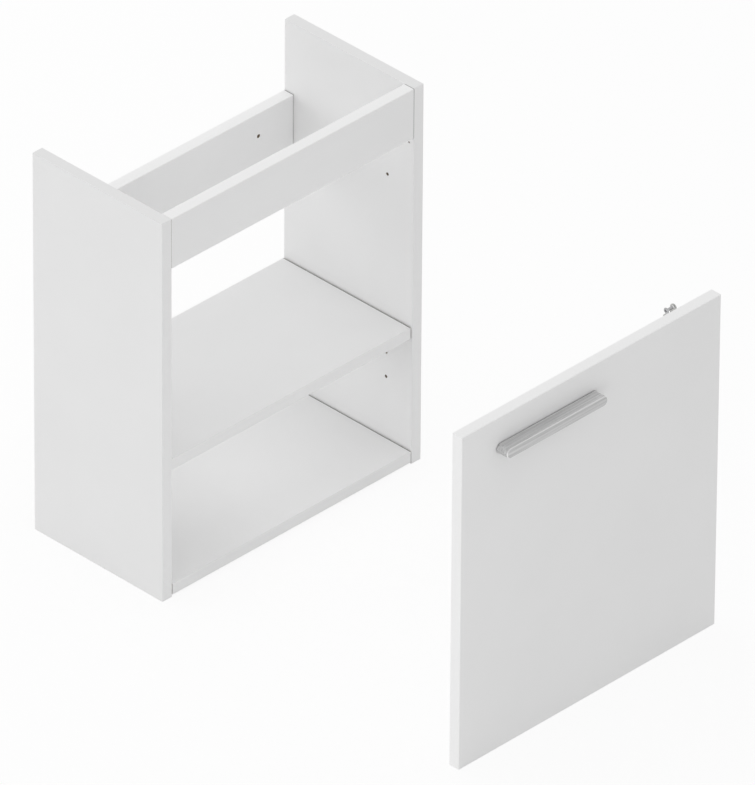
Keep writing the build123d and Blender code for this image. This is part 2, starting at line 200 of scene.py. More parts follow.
def maths(tree, operation, *values):
    """Math node on numbers or sockets, which gives its output socket."""
    node = tree.nodes.new("ShaderNodeMath")
    node.operation = operation
    for socket, value in zip(node.inputs, values):
        set_input(tree, socket, value)
    return node.outputs[0]


def vector_maths(tree, operation, *values):
    """Vector Math node on two sockets or vectors, which gives its number or vector."""
    node = tree.nodes.new("ShaderNodeVectorMath")
    node.operation = operation
    for socket, value in zip(node.inputs, values):
        set_input(tree, socket, value)
    return node.outputs["Value" if operation == "DOT_PRODUCT" else "Vector"]


def noise(tree, vector, scale, detail=2.0, roughness=0.5):
    """Noise texture's value on a vector."""
    node = tree.nodes.new("ShaderNodeTexNoise")
    for label, value in (("Vector", vector), ("Scale", scale), ("Detail", detail), ("Roughness", roughness)):
        set_input(tree, node.inputs[label], value)
    return node.outputs["Fac"]


def ramp(tree, value, *stops):
    """Colour ramp on a value, with stops as (place, colour)."""
    node = tree.nodes.new("ShaderNodeValToRGB")
    elements = node.color_ramp.elements
    while len(elements) < len(stops):
        elements.new(0.5)
    for element, (place, colour) in zip(elements, stops):
        element.position = place
        element.color = (*colour, 1)
    tree.links.new(value, node.inputs["Fac"])
    return node.outputs["Color"]


def blended(tree, share, first, second):
    """Mix of two colours, given as sockets or as numbers, by a share."""
    node = tree.nodes.new("ShaderNodeMix")
    node.data_type = "RGBA"
    tree.links.new(share, node.inputs["Factor"])
    for label, value in (("A", first), ("B", second)):
        socket = [s for s in node.inputs if s.name == label and s.type == "RGBA"][0]
        set_input(tree, socket, value)
    return [s for s in node.outputs if s.type == "RGBA"][0]


def pearl_grain_group():
    """Melamine's fine pearl grain and faint clouding, from noise at two scales."""
    inputs = [("Grain per metre", "Float", 1400.0)]
    tree, given, result = shader_group("pearl_grain", inputs, [("Tone", "Float"), ("Height", "Float")])
    place = tree.nodes.new("ShaderNodeTexCoord").outputs["Object"]
    fine = noise(tree, place, given.outputs["Grain per metre"], 3.0, 0.6)
    cloud = noise(tree, place, 9.0)
    tone = maths(tree, "MULTIPLY_ADD", fine, 0.55, maths(tree, "MULTIPLY", cloud, 0.45))
    tree.links.new(tone, result.inputs["Tone"])
    tree.links.new(fine, result.inputs["Height"])
    return tree


def chip_core_group():
    """Particle board's core: coarse chips in the middle and fine ones by the faces, with a
    mask that is 1 on the two faces and on the edge of the paper that covers them."""
    tree, given, result = shader_group(
        "chip_core",
        [("Thickness axis", "Vector", (0, 0, 1)), ("Middle", "Float", 0.0), ("Half", "Float", 0.009)],
        [("Faced", "Float"), ("Chips", "Color"), ("Height", "Float")],
    )
    coordinates = tree.nodes.new("ShaderNodeTexCoord")
    place, normal = coordinates.outputs["Object"], coordinates.outputs["Normal"]
    axis, half = given.outputs["Thickness axis"], given.outputs["Half"]
    depth = maths(tree, "SUBTRACT", vector_maths(tree, "DOT_PRODUCT", place, axis), given.outputs["Middle"])
    off_middle = maths(tree, "ABSOLUTE", depth)
    facing = maths(tree, "ABSOLUTE", vector_maths(tree, "DOT_PRODUCT", normal, axis))
    on_face = maths(tree, "GREATER_THAN", facing, 0.5)
    in_paper = maths(tree, "GREATER_THAN", off_middle, maths(tree, "SUBTRACT", half, 0.00025))
    share = maths(tree, "DIVIDE", off_middle, half)
    chips_per_metre = maths(tree, "MULTIPLY_ADD", maths(tree, "POWER", share, 3.0), 900.0, 320.0)
    cells = tree.nodes.new("ShaderNodeTexVoronoi")
    tree.links.new(place, cells.inputs["Vector"])
    tree.links.new(chips_per_metre, cells.inputs["Scale"])
    shade = vector_maths(tree, "DOT_PRODUCT", cells.outputs["Color"], (0.4, 0.3, 0.3))
    chips = ramp(tree, shade, (0.15, chip_dark), (0.45, chip_middle), (0.85, chip_pale))
    tree.links.new(maths(tree, "MAXIMUM", on_face, in_paper), result.inputs["Faced"])
    tree.links.new(chips, result.inputs["Chips"])
    tree.links.new(cells.outputs["Distance"], result.inputs["Height"])
    return tree


def painted_gap_shade_group():
    """Painted shade at a board's right end, standing in for the shade in the narrow gap where it
    meets the right side: 1 where the distance along X is past the line's inner side."""
    tree, given, result = shader_group("painted_gap_shade", [("Inner side", "Float", 0.2)], [("Line", "Float")])
    place = tree.nodes.new("ShaderNodeTexCoord").outputs["Object"]
    rightward = vector_maths(tree, "DOT_PRODUCT", place, (1.0, 0.0, 0.0))
    line = maths(tree, "GREATER_THAN", rightward, given.outputs["Inner side"])
    tree.links.new(line, result.inputs["Line"])
    return tree


pearl_grain = pearl_grain_group()
chip_core = chip_core_group()
painted_gap_shade = painted_gap_shade_group()


def surface_material(name, roughness, metallic=0.0):
    """Material with its node tree and its Principled shader."""
    material = bpy.data.materials.new(name)
    material.use_nodes = True
    shader = material.node_tree.nodes["Principled BSDF"]
    shader.inputs["Roughness"].default_value = roughness
    shader.inputs["Metallic"].default_value = metallic
    return material, material.node_tree, shader


def place_group(tree, group, **values):
    """Group node in a material's tree, with some of its inputs set."""
    node = tree.nodes.new("ShaderNodeGroup")
    node.node_tree = group
    for label, value in values.items():
        node.inputs[label.replace("_", " ")].default_value = value
    return node


def add_bump(tree, shader, height, strength, distance):
    """Bump from a height, into the shader's normal."""
    bump = tree.nodes.new("ShaderNodeBump")
    bump.inputs["Strength"].default_value = strength
    bump.inputs["Distance"].default_value = distance
    tree.links.new(height, bump.inputs["Height"])
    tree.links.new(bump.outputs["Normal"], shader.inputs["Normal"])


def board_material(node, axis_number):
    """Melamine-faced board whose thickness runs along one axis of its node's box."""
    low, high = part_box(node)
    axis = tuple(float(k == axis_number) for k in range(3))
    middle = (low[axis_number] + high[axis_number]) / 2
    material, tree, shader = surface_material("board_" + node, 0.45)
    grain = place_group(tree, pearl_grain)
    core = place_group(tree, chip_core, Thickness_axis=axis, Middle=middle, Half=high[axis_number] - middle)
    white = ramp(tree, grain.outputs["Tone"], (0.3, board_shade), (0.7, board_white))
    # Painted shade: the face darkens in a strip at the board's right end, for the shade in the gap beside the
    # right side.
    if node in painted_gap_shades:
        width, shade = painted_gap_shades[node]
        line = place_group(tree, painted_gap_shade, Inner_side=high.x - width)
        white = blended(tree, line.outputs["Line"], white, shade)
    colour = blended(tree, core.outputs["Faced"], core.outputs["Chips"], white)
    tree.links.new(colour, shader.inputs["Base Color"])
    rough = maths(tree, "MULTIPLY_ADD", core.outputs["Faced"], -0.45, 0.9)
    fine_rough = maths(tree, "MULTIPLY_ADD", grain.outputs["Tone"], 0.08, rough)
    tree.links.new(fine_rough, shader.inputs["Roughness"])
    bare = maths(tree, "SUBTRACT", 1.0, core.outputs["Faced"])
    relief = maths(tree, "MULTIPLY", maths(tree, "MULTIPLY", core.outputs["Height"], bare), 8.0)
    add_bump(tree, shader, maths(tree, "ADD", grain.outputs["Height"], relief), 0.25, 0.00004)
    return material


for node, axis_number in board_axes.items():
    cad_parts[node].data.materials.clear()
    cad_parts[node].data.materials.append(board_material(node, axis_number))


# The edge bands: 1 mm white plastic strips glued to the boards' visible edges, their outer
# arrises scraped to a small radius. The glued side is sharp and leaves a hairline joint.
# The rails and the door have a paler band than the rest.
band_white = (0.86, 0.86, 0.86)
band_shade = (0.835, 0.835, 0.835)
pale_band_white = (0.965, 0.965, 0.965)
pale_band_shade = (0.94, 0.94, 0.94)
# Painted shade on the rails' bands: a dark strip of this width and colour at their right ends, for the shade in
# the gap where they meet the right side.
band_gap_shade_width = 0.0014
band_gap_painted_shade = (0.36, 0.36, 0.36)
band_arris = 0.0006
glue_line = 0.00004


def capped(points):
    """Closes a tube of points with a middle point before its first row and after its last."""
    first = np.repeat(points[:1].mean(1, keepdims=True), points.shape[1], 1)
    last = np.repeat(points[-1:].mean(1, keepdims=True), points.shape[1], 1)
    return np.concatenate([first, points, last])


def rounded_block(low, high, rounding, steps=4):
    """Box rounded by its own radius at each of its six sides. Over a ball of directions, a
    point is its octant's inset corner plus the direction times the radii of its sides."""
    quarter = np.linspace(0, np.pi / 2, steps + 1)
    longitude = np.concatenate([quarter + k * np.pi / 2 for k in range(4)])[None, :]
    latitude = np.concatenate([quarter - np.pi / 2, quarter])[:, None]
    rise = np.broadcast_to(np.sin(latitude), (len(latitude), longitude.size))
    spread = np.cos(latitude)
    direction = np.stack([spread * np.cos(longitude), spread * np.sin(longitude), rise], -1)
    positive = np.zeros(direction.shape, bool)
    positive[..., 0] = np.repeat([True, False, False, True], steps + 1)[None, :]
    positive[..., 1] = np.repeat([True, True, False, False], steps + 1)[None, :]
    positive[..., 2] = np.repeat([False, True], steps + 1)[:, None]
    radii = np.where(positive, rounding[:, 1], rounding[:, 0])
    corner = np.where(positive, np.array(high) - radii, np.array(low) + radii)
    return capped(corner + radii * direction)


def add_piece(name, sheets, body, material, slot, *nodes, sheet_thickness=0.0, sharp_angle=0.6):
    """Object made of grids of points, that rides on a body and stands for some nodes. Faces
    join neighbouring points of neighbouring rows. Each row closes on itself, but for a piece
    of thin sheet, which is open and is given its thickness afterwards."""
    points, faces, start = [], [], 0
    for sheet in sheets:
        rows, columns = sheet.shape[:2]
        column = np.arange(columns - 1 if sheet_thickness else columns)
        here = np.arange(rows - 1)[:, None] * columns + column
        beside = np.arange(rows - 1)[:, None] * columns + (column + 1) % columns
        quads = np.stack([here, beside, beside + columns, here + columns], -1).reshape(-1, 4)
        faces.append(quads + start)
        points.append(sheet.reshape(-1, 3))
        start += rows * columns
    mesh = bpy.data.meshes.new(name)
    mesh.from_pydata(np.concatenate(points).tolist(), [], np.concatenate(faces).tolist())
    finish_mesh(mesh, sharp_angle)
    piece = bpy.data.objects.new(name, mesh)
    bpy.context.scene.collection.objects.link(piece)
    if sheet_thickness:
        solid = piece.modifiers.new("sheet", "SOLIDIFY")
        solid.thickness = sheet_thickness
        solid.offset = 0
    dress(piece, body, material, slot, *nodes)
    return piece


def finish_mesh(mesh, sharp_angle):
    """Merges doubles, drops empty faces, turns faces outwards and shades the mesh smooth up
    to an angle."""
    form = bmesh.new()
    form.from_mesh(mesh)
    bmesh.ops.remove_doubles(form, verts=form.verts, dist=2e-6)
    bmesh.ops.dissolve_degenerate(form, edges=form.edges, dist=1e-6)
    bmesh.ops.recalc_face_normals(form, faces=form.faces)
    form.to_mesh(mesh)
    form.free()
    mesh.shade_smooth()
    mesh.set_sharp_from_angle(angle=sharp_angle)


def dress(piece, body, material, slot, *nodes):
    """Gives a piece its material and body, and hides the nodes that it stands for. Its slot is not used."""
    piece.data.materials.clear()
    piece.data.materials.append(material)
    even = piece.modifiers.new("even_shading", "WEIGHTED_NORMAL")
    even.keep_sharp = True
    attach(piece, body)
    if nodes:
        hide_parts(*nodes)


def band_material(name, shade, pale, rail=None):
    """White plastic edge band, a little smoother than the boards. A rail's band has a fine dark
    line of painted shade at its right end, for the shade in the gap beside the right side."""
    material, tree, shader = surface_material(name, 0.38)
    grain = place_group(tree, pearl_grain, Grain_per_metre=900.0)
    white = ramp(tree, grain.outputs["Tone"], (0.3, shade), (0.7, pale))
    if rail:
        # Painted shade at the band's right end, for the gap beside the right side.
        line = place_group(tree, painted_gap_shade, Inner_side=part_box(rail)[1].x - band_gap_shade_width)
        white = blended(tree, line.outputs["Line"], white, band_gap_painted_shade)
    tree.links.new(white, shader.inputs["Base Color"])
    tree.links.new(maths(tree, "MULTIPLY_ADD", grain.outputs["Tone"], 0.1, 0.33), shader.inputs["Roughness"])
    add_bump(tree, shader, grain.outputs["Height"], 0.15, 0.00003)
    return material


plain_band = band_material("plain_band", band_shade, band_white)
pale_band = band_material("pale_band", pale_band_shade, pale_band_white)
rail_band = band_material("rail_band", pale_band_shade, pale_band_white, "front_rail")


def band(low, high, glued_axis, glued_end, square=()):
    """Edge band between two corners, rounded all round but for its glued side and for the
    ends, as (axis, end), that meet another band."""
    rounding = np.full((3, 2), band_arris)
    rounding[glued_axis, glued_end] = glue_line
    for axis, end in square:
        rounding[axis, end] = glue_line
    return rounded_block(low, high, rounding)


def side_bands(low, high, board_low, board_high):
    """A side's front band, over its full height, and the top band behind it."""
    front = band(low, (high.x, board_low.y, high.z), 1, 1)
    return [front, band((low.x, board_low.y, board_high.z), high, 2, 0, [(1, 0)])]


def rail_bands(low, high, board_low, board_high):
    """Bands on a rail's lower and upper edges."""
    lower = band(low, (high.x, high.y, board_low.z), 2, 1)
    return [lower, band((low.x, low.y, board_high.z), high, 2, 0)]


def front_band(low, high, board_low, board_high):
    """Band on a level board's front edge."""
    return [band(low, high, 1, 1)]


def door_bands(low, high, board_low, board_high):
    """Bands on the door's four edges: the upright pair runs past the level pair."""
    left = band(low, (board_low.x, high.y, high.z), 0, 1)
    right = band((board_high.x, low.y, low.z), high, 0, 0)
    ends = [(0, 0), (0, 1)]
    lower = band((board_low.x, low.y, low.z), (board_high.x, high.y, board_low.z), 2, 1, ends)
    upper = band((board_low.x, low.y, board_high.z), (board_high.x, high.y, high.z), 2, 0, ends)
    return [left, right, lower, upper]


banded = {
    "left_side": (side_bands, "left_side_panel", "carcass", plain_band),
    "right_side": (side_bands, "right_side_panel", "carcass", plain_band),
    "front_rail": (rail_bands, "front_rail", "carcass", rail_band),
    "back_rail": (rail_bands, "back_rail", "carcass", rail_band),
    "bottom": (front_band, "bottom_panel", "carcass", plain_band),
    "shelf": (front_band, "shelf_panel", "shelf", plain_band),
    "door": (door_bands, "door_panel", "door", pale_band),
}
for part, (bands_of, board, body, plastic) in banded.items():
    node = part + "_edging"
    bands = bands_of(*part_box(node), *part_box(board))
    add_piece(part + "_band", bands, body, plastic, "white_edging", node)


# The dowels: fluted beech pins with eased ends, glued into the boards' ends. They are hidden
# but for the hairline at each joint.
dowel_chamfer = 0.0012
flutes = 20
flute_depth = 0.00025
beech_dark = (0.45, 0.30, 0.17)
beech_pale = (0.66, 0.49, 0.32)


def solid_boxes(node):
    """Low and high corner of each separate solid of a node. Every point starts with its own
    number, and the points of a triangle take the lowest of theirs until none changes."""
    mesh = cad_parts[node].data
    mesh.calc_loop_triangles()
    points = np.empty(len(mesh.vertices) * 3)
    mesh.vertices.foreach_get("co", points)
    points = points.reshape(-1, 3)
    triangles = np.empty(len(mesh.loop_triangles) * 3, int)
    mesh.loop_triangles.foreach_get("vertices", triangles)
    place_number = np.unique(points.round(6), axis=0, return_inverse=True)[1].ravel()
    triangles = place_number[triangles].reshape(-1, 3)
    label = np.arange(place_number.max() + 1)
    before = None
    while not np.array_equal(before, label):
        before = label.copy()
        np.minimum.at(label, triangles.ravel(), np.repeat(label[triangles].min(1), 3))
    group = label[place_number]
    boxes = [(points[group == g].min(0), points[group == g].max(0)) for g in np.unique(group)]
    return sorted(boxes, key=lambda box: tuple(box[0].round(4)))


def lathe(place, axis, facing, along, radius, columns=32):
    """Surface turned about an axis of the frame through a place. A point lies at a distance
    along the axis, in the direction that it faces, and at a radius, and either may change
    with the angle, which starts on the next axis and turns towards the one after."""
    turn = np.linspace(0, 2 * np.pi, columns + 1)[:-1]
    along, radius = (np.array(v, float) for v in (along, radius))
    along = along if along.ndim == 2 else along[:, None]
    radius = radius if radius.ndim == 2 else radius[:, None]
    along, radius, turn = np.broadcast_arrays(along, radius, turn[None, :])
    points = np.empty((*along.shape, 3))
    points[..., axis] = place[axis] + facing * along
    points[..., (axis + 1) % 3] = place[(axis + 1) % 3] + radius * np.cos(turn)
    points[..., (axis + 2) % 3] = place[(axis + 2) % 3] + radius * np.sin(turn)
    return capped(points)


def fluted_dowel(low, high):
    """Dowel along X: a cylinder whose radius dips at each flute, with chamfered ends."""
    length, radius = high[0] - low[0], (high[1] - low[1]) / 2
    turn = np.linspace(0, 2 * np.pi, flutes * 6 + 1)[:-1]
    groove = flute_depth * (0.5 + 0.5 * np.cos(flutes * turn)) ** 2
    along = np.array([0, dowel_chamfer, length / 2, length - dowel_chamfer, length])
    full = np.array([radius - dowel_chamfer, radius, radius, radius, radius - dowel_chamfer])
    start = (low[0], (low[1] + high[1]) / 2, (low[2] + high[2]) / 2)
    return lathe(start, 0, 1, along, full[:, None] - groove[None, :], len(turn))


def drawn_lines_group():
    """Lines drawn out along one axis by unequal scales, as in brushed metal and in wood."""
    inputs = [("Lines per metre", "Vector", (30.0, 3000.0, 3000.0))]
    tree, given, result = shader_group("drawn_lines", inputs, [("Tone", "Float"), ("Height", "Float")])
    place = tree.nodes.new("ShaderNodeTexCoord").outputs["Object"]
    drawn = vector_maths(tree, "MULTIPLY", place, given.outputs["Lines per metre"])
    fine = noise(tree, drawn, 1.0, 3.0, 0.65)
    broad = noise(tree, drawn, 0.2)
    tone = maths(tree, "MULTIPLY_ADD", fine, 0.5, maths(tree, "MULTIPLY", broad, 0.5))
    tree.links.new(tone, result.inputs["Tone"])
    tree.links.new(fine, result.inputs["Height"])
    return tree


drawn_lines = drawn_lines_group()


def beech_material():
    """Bare beech, with its grain along the dowels."""
    material, tree, shader = surface_material("beech_wood", 0.7)
    lines = place_group(tree, drawn_lines, Lines_per_metre=(60.0, 1500.0, 1500.0))
    wood = ramp(tree, lines.outputs["Tone"], (0.3, beech_dark), (0.7, beech_pale))
    tree.links.new(wood, shader.inputs["Base Color"])
    add_bump(tree, shader, lines.outputs["Height"], 0.4, 0.0001)
    return material


dowels = [fluted_dowel(low, high) for low, high in solid_boxes("dowels")]
add_piece("dowel_set", dowels, "carcass", beech_material(), "beech", "dowels")


# The cam fittings: zinc-plated steel bolts screwed into the sides, whose heads are drawn in
# by die-cast cams let into the boards' hidden faces.
bolt_thread_length = 0.0108
bolt_neck = 0.0045
bolt_head = 0.004
thread_pitch = 0.0018
rows_per_turn = 6
cam_skirt = 0.0071
cam_waist = 0.005
cam_rim = 0.0004
cam_slot = 0.0018
cam_slot_reach = 0.0062
cam_cross = 0.0024
cam_cross_reach = 0.0030
driver_half = 0.0008
zinc_dark = (0.46, 0.46, 0.47)
zinc_pale = (0.62, 0.62, 0.63)
casting_dark = (0.33, 0.33, 0.34)
casting_pale = (0.47, 0.47, 0.48)


def brushed_material(name, lines, dark, pale, roughness, strength=0.1):
    """Metal whose fine lines or grain vary in tone, gloss and height."""
    material, tree, shader = surface_material(name, roughness, 1.0)
    brushing = place_group(tree, drawn_lines, Lines_per_metre=lines)
    colour = ramp(tree, brushing.outputs["Tone"], (0.3, dark), (0.7, pale))
    tree.links.new(colour, shader.inputs["Base Color"])
    rough = maths(tree, "MULTIPLY_ADD", brushing.outputs["Tone"], 0.2, roughness - 0.1)
    tree.links.new(rough, shader.inputs["Roughness"])
    add_bump(tree, shader, brushing.outputs["Height"], strength, 0.00002)
    return material


def threaded(length, radius, depth, pitch, columns):
    """Distances and radii of a screw thread: the radius rises and falls in a triangle over
    each turn, and its start moves along by one pitch over a full angle."""
    rows = int(np.ceil(length / pitch * rows_per_turn)) + 1
    along = np.linspace(0, length, rows)
    angle = np.arange(columns) / columns
    phase = (along[:, None] / pitch - angle[None, :]) % 1
    taper = np.clip(np.minimum(along, length - along) / pitch, 0, 1)[:, None]
    return along, radius - depth + depth * taper * (1 - np.abs(2 * phase - 1))


def cam_bolt(low, high, columns=24):
    """Bolt along X from its head, over a thin neck and a shank, to the thread in the side."""
    length = high[0] - low[0]
    facing = np.sign(low[0] + high[0])
    start = (low[0] if facing > 0 else high[0], (low[1] + high[1]) / 2, (low[2] + high[2]) / 2)
    head, neck, shank, thread = 0.0033, 0.002, 0.0035, 0.0025
    thread_start = length - bolt_thread_length
    neck_end = bolt_head + bolt_neck
    along = [0, 0.0005, bolt_head - 0.0005, bolt_head, bolt_head, neck_end, neck_end, thread_start, thread_start]
    radius = [head - 0.0005, head, head, head - 0.0005, neck, neck, shank, shank, thread - 0.0005]
    turns, wave = threaded(bolt_thread_length, thread, 0.0005, thread_pitch, columns)
    along = np.concatenate([along, thread_start + turns])
    radius = np.concatenate([np.repeat(np.array(radius)[:, None], columns, 1), wave])
    return lathe(start, 0, facing, along, radius, columns)


def slot_depth(radius, turn, reach, half_width, depth, arms=2):
    """Depth of a driver slot at a radius and an angle: full within the arms' half width, and
    easing out over a short slope. One arm makes a slot, two a cross."""
    slope = 0.00025
    across = np.abs(radius * np.sin(turn))
    far = np.abs(radius * np.cos(turn))
    if arms == 2:
        across, far = np.minimum(across, far), np.maximum(across, far)
    inside = np.clip((half_width - across) / slope + 0.5, 0, 1) * np.clip((reach - far) / slope + 0.5, 0, 1)
    return depth * inside


def cam_lock(low, high, columns=96):
    """Cam whose axis is its box's shortest side: a disc whose face has a slot and a cross,
    and below it a skirt that goes round the bolt's head, open on the bolt's side. A point of
    the skirt is its place on a four-cornered section, carried round the axis."""
    size = high - low
    axis = int(np.argmin(size.round(4)))
    outward = 1 if axis == 1 else -1
    place = (low + high) / 2
    place[axis] = low[axis] if outward > 0 else high[axis]
    depth, radius = size[axis], size.max() / 2
    across_board = 0.0 if axis == 2 else np.pi / 2
    turn = np.linspace(0, 2 * np.pi, columns + 1)[:-1][None, :]
    face = np.linspace(radius - cam_rim, 0.0001, 30)[:, None]
    slot = slot_depth(face, turn - across_board, cam_slot_reach, driver_half, cam_slot, 1)
    cut = np.maximum(slot, slot_depth(face, turn, cam_cross_reach, driver_half, cam_cross))
    along = np.array([cam_skirt, cam_skirt + cam_rim, depth - cam_rim])[:, None]
    edge = np.array([radius - cam_rim, radius, radius])[:, None]
    along = np.concatenate([np.repeat(along, columns, 1), depth - cut])
    disc_radius = np.concatenate([np.repeat(edge, columns, 1), np.repeat(face, columns, 1)])
    disc = lathe(place, axis, outward, along, disc_radius, columns)
    away = across_board + (np.pi if place[0] > 0 else 0)
    sweep = (away + np.radians(np.linspace(-100, 100, 25)))[:, None]
    section = np.array([cam_waist, radius, radius, cam_waist])[None, :]
    skirt = np.empty((25, 4, 3))
    skirt[..., axis] = place[axis] + outward * np.array([0, 0, cam_skirt, cam_skirt])
    skirt[..., (axis + 1) % 3] = place[(axis + 1) % 3] + section * np.cos(sweep)
    skirt[..., (axis + 2) % 3] = place[(axis + 2) % 3] + section * np.sin(sweep)
    return [disc, capped(skirt)]


zinc_plate = brushed_material("zinc_plate", (1200.0, 1200.0, 1200.0), zinc_dark, zinc_pale, 0.3)
casting = brushed_material("zinc_casting", (1500.0, 1500.0, 1500.0), casting_dark, casting_pale, 0.55, 0.3)
bolts = [cam_bolt(low, high) for low, high in solid_boxes("cam_bolts")]
add_piece("cam_bolt_set", bolts, "carcass", zinc_plate, "zinc_steel", "cam_bolts")
cams = [sheet for low, high in solid_boxes("cam_locks") for sheet in cam_lock(low, high)]
add_piece("cam_lock_set", cams, "carcass", casting, "zinc_casting", "cam_locks")


# The shelf pegs: nickel-plated steel pins pushed into the sides, each with a collar against
# the board and a flat tab, on which the loose shelf lies.
nickel_dark = (0.50, 0.50, 0.49)
nickel_pale = (0.62, 0.62, 0.61)
peg_pin = 0.0025
peg_in_side = 0.009
peg_collar = 0.0015
peg_collar_radius = 0.004
peg_tab = 0.002


def shelf_peg(low, high, columns=40):
    """Peg along X: a pin, a collar cut level at the top and a tab. The cut is a radius of no
    more than the pin's radius over the sine of the angle above the level."""
    facing = np.sign(low[0] + high[0])
    end = high[0] if facing > 0 else low[0]
    place = np.array([end, (low[1] + high[1]) / 2, high[2] - peg_pin])
    length = high[0] - low[0]
    ease = 0.0006
    pin = lathe(place, 0, -facing, [0, ease, length - ease, length], [peg_pin - ease, peg_pin, peg_pin, peg_pin - ease], columns)
    turn = np.linspace(0, 2 * np.pi, columns + 1)[:-1]
    level_top = peg_pin / np.maximum(np.sin(turn), peg_pin / peg_collar_radius)
    rim = np.minimum(peg_collar_radius, level_top)[None, :]
    along = peg_in_side + np.array([0, 0.0002, peg_collar - 0.0002, peg_collar])
    collar = lathe(place, 0, -facing, along, rim - np.array([0.0002, 0, 0, 0.0002])[:, None], columns)
    inner = sorted((place[0] - facing * (peg_in_side + peg_collar), place[0] - facing * length))
    tab_low = (inner[0], place[1] - peg_collar_radius, high[2] - peg_tab)
    tab_high = (inner[1], place[1] + peg_collar_radius, high[2])
    tab_round = np.array([[0.0008, 0.0008], [0.0008, 0.0008], [0.0004, 0.0004]])
    return [pin, collar, rounded_block(tab_low, tab_high, tab_round)]


nickel = brushed_material("nickel_plate", (900.0, 900.0, 900.0), nickel_dark, nickel_pale, 0.3)
pegs = [sheet for low, high in solid_boxes("shelf_pegs") for sheet in shelf_peg(low, high)]
add_piece("shelf_peg_set", pegs, "carcass", nickel, "peg_steel", "shelf_pegs")


# The hinge cups: pressed nickel-plated steel bowls let into the door's back, each with a
# winged flange held by two screws.
cup_radius = 0.0175
cup_wall = 0.001
cup_corner = 0.0015
cup_lip = 0.0006
flange_margin = 0.001
flange_thickness = 0.001
flange_wing_half = 0.006


def flange_outline(turn, wing_x, wing_reach):
    """Distance from the cup's middle to the flange's edge at each angle: the further of the
    round rim and the two wings, whose ends are half round."""
    distance = np.linspace(0, wing_reach + flange_wing_half, 1200)[None, :]
    x = distance * np.sin(turn)[:, None]
    past = np.maximum(np.abs(distance * np.cos(turn)[:, None]) - (wing_reach - flange_wing_half), 0)
    inside = (x - wing_x) ** 2 + past**2 <= flange_wing_half**2
    return np.maximum(np.where(inside, distance, 0).max(1), cup_radius + flange_margin)


def hinge_cup(node, columns=96):
    """Cup as one closed sheet about its axis: the bowl's outside with its rounded corner, the
    flange's underside out to its outline, its top, and the bowl's inside."""
    low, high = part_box(node)
    face = high.y - flange_thickness
    middle = np.array([high.x - cup_radius - flange_margin, face, (low.z + high.z) / 2])
    turn = np.linspace(0, 2 * np.pi, columns + 1)[:-1]
    outline = flange_outline(turn, low.x + flange_wing_half - middle[0], (high.z - low.z) / 2)[None, :]
    bend = np.linspace(0, np.pi / 2, 7)
    full, inner = cup_radius, cup_radius - cup_wall
    depth = low.y - face
    floor_level = depth + cup_wall

    def ring(along, radius):
        """Rows of equal rings, as distances along Y and radii at each angle."""
        along, radius = np.atleast_1d(along), np.atleast_1d(radius)
        return np.repeat(along[:, None], columns, 1), np.repeat(radius[:, None], columns, 1)

    rows = [
        ring([depth, depth], [0.002, full / 2]),
        ring(depth + cup_corner * (1 - np.cos(bend)), full - cup_corner * (1 - np.sin(bend))),
        ring(0, full),
        (np.zeros((1, columns)), outline),
        (np.full((1, columns), flange_thickness - 0.0003), outline),
        (np.full((1, columns), flange_thickness), outline - 0.0003),
        ring(flange_thickness - cup_lip * (1 - np.cos(bend)), inner + cup_lip * (1 - np.sin(bend))),
        ring(floor_level + cup_corner * (1 - np.sin(bend)), inner - cup_corner * (1 - np.cos(bend))),
        ring([floor_level, floor_level], [full / 2, 0.002]),
    ]
    along = np.concatenate([row[0] for row in rows])
    radius = np.concatenate([row[1] for row in rows])
    return lathe(middle, 1, 1, along, radius, columns)


for name in ("lower", "upper"):
    cup = hinge_cup(name + "_hinge_cup")
    add_piece(name + "_cup", [cup], "door", nickel, "hinge_steel", name + "_hinge_cup")


# The pins and screws of the hinges: zinc-plated steel. A pin crosses each cup, two wood
# screws hold each flange, and two set each arm on its plate.
cup_screw_head = 0.0012
cup_screw_shank = 0.0017
adjuster_head = 0.0016
adjuster_shank = 0.002
fine_pitch = 0.0008
screw_point = 0.003


def screw(low, high, axis, facing, head_height, shank_radius, pitch, thread_length, point=0.0, columns=96):
    """Screw in a box, with its head at the end that it faces. Its shank has a triangular
    thread and may taper to a point, and its head is a low dome with a cross in it."""
    place = (low + high) / 2
    place[axis] = low[axis] if facing > 0 else high[axis]
    length = high[axis] - low[axis] - head_height
    head_radius = (high[(axis + 1) % 3] - low[(axis + 1) % 3]) / 2
    turns, wave = threaded(thread_length, shank_radius, 0.18 * shank_radius, pitch, columns)
    if point:
        wave = wave * np.clip(0.12 + turns / point, 0, 1)[:, None]
    shank_along = np.array([thread_length, length, length, length + 0.3 * head_height])
    shank_wide = np.array([0.9 * shank_radius, 0.9 * shank_radius, 0.94 * head_radius, head_radius])
    fall = np.linspace(np.pi / 2, 0.02, 42)[1:, None]
    dome = head_radius * np.sin(fall)
    turn = np.linspace(0, 2 * np.pi, columns + 1)[:-1][None, :]
    top = length + head_height * (0.3 + 0.7 * np.cos(fall) ** 0.7)
    cross = slot_depth(dome, turn, 0.55 * head_radius, 0.13 * head_radius, 0.6 * head_height)
    body = np.repeat(np.concatenate([turns, shank_along])[:, None], columns, 1)
    along = np.concatenate([body, top - cross])
    radius = np.concatenate([wave, np.repeat(shank_wide[:, None], columns, 1), np.repeat(dome, columns, 1)])
    return lathe(place, axis, facing, along, radius, columns)


def round_pin(low, high, ease=0.0003):
    """Pin along Z with eased ends."""
    radius, length = (high[0] - low[0]) / 2, high[2] - low[2]
    place = (low[0] + radius, low[1] + radius, low[2])
    return lathe(place, 2, 1, [0, ease, length - ease, length], [radius - ease, radius, radius, radius - ease], 24)


